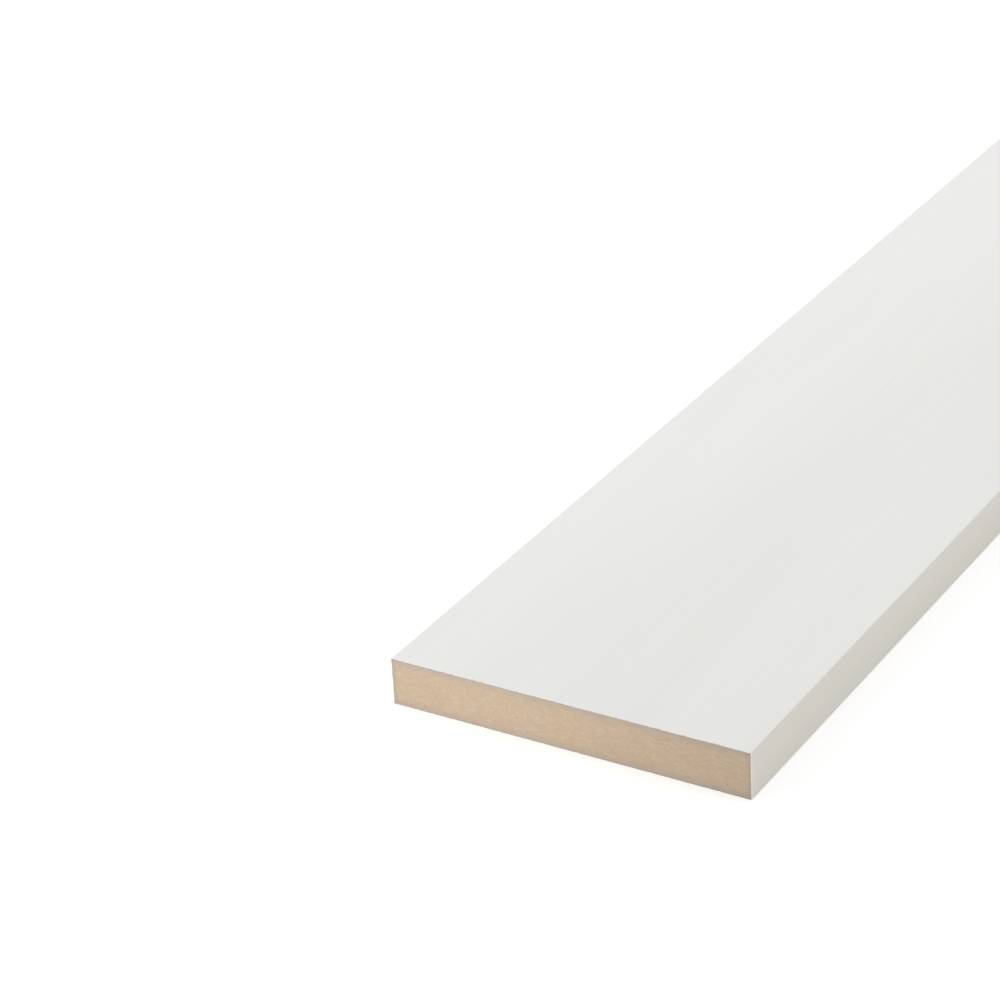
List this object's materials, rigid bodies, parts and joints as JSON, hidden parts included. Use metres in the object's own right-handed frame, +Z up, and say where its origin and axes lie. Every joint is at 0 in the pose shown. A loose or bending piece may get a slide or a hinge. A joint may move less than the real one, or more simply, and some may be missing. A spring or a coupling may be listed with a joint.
{
  "type": "primed fibreboard moulding board",
  "caption": "Flat square-edged moulding board: a straight strip of fibreboard with lightly eased long edges, primed white, with square-sawn raw ends, for casing, skirting or fascia trim.",
  "frame": {"origin": "middle of the underside (the back face), where the board lies on the floor", "axes": "+X across the width, +Y along the length away from the pictured end, +Z up through the thickness towards the show face"},
  "size_m": [0.1396, 2.4384, 0.0183],
  "materials": {
    "primed_fibreboard": "matte"
  },
  "bodies": {
    "root": {"board": "primed_fibreboard"}
  },
  "joints": []
}
